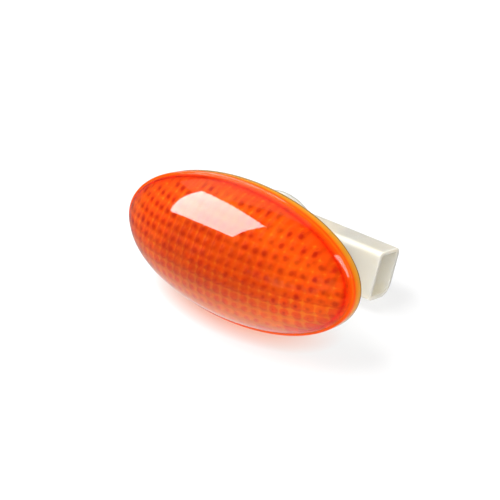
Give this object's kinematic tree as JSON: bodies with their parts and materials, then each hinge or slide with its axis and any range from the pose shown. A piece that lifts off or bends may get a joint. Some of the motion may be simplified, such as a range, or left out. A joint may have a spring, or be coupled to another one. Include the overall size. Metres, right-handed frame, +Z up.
{
  "type": "side repeater lamp",
  "caption": "Oval amber side repeater lamp for a car's wing: domed prism lens, clip-in housing, twist-in holder with wedge bulb and a connector socket at its side.",
  "frame": {"origin": "middle of the rear edge of the lens rim, in the plane that lies on the skin of the wing", "axes": "+X along the lamp towards the connector's mouth, +Y into the wing, +Z up; the lens faces -Y"},
  "size_m": [0.076, 0.053, 0.0394],
  "materials": {
    "amber_lens": "clear amber acrylic, polished outside, prisms inside",
    "natural_plastic": "natural translucent polypropylene, as moulded",
    "seal_rubber": "soft black rubber",
    "terminal_brass": "tinned brass strip",
    "bulb_glass": "clear glass",
    "filament_wire": "grey tungsten coil",
    "lead_wire": "plated lead wire"
  },
  "bodies": {
    "lamp": {"lens": "amber_lens", "housing": "natural_plastic"},
    "holder": {"bulb_holder": "natural_plastic", "holder_seal": "seal_rubber", "terminal_upper": "terminal_brass", "terminal_lower": "terminal_brass", "bulb_glass": "bulb_glass", "bulb_filament": "filament_wire", "bulb_lead_upper": "lead_wire", "bulb_lead_lower": "lead_wire"}
  },
  "joints": [
    {"name": "holder_twist", "type": "hinge", "parent": "lamp", "child": "holder", "pos_m": [0, 0.0132, 0], "axis": [0, 1, 0], "range_deg": [0, 45]}
  ]
}
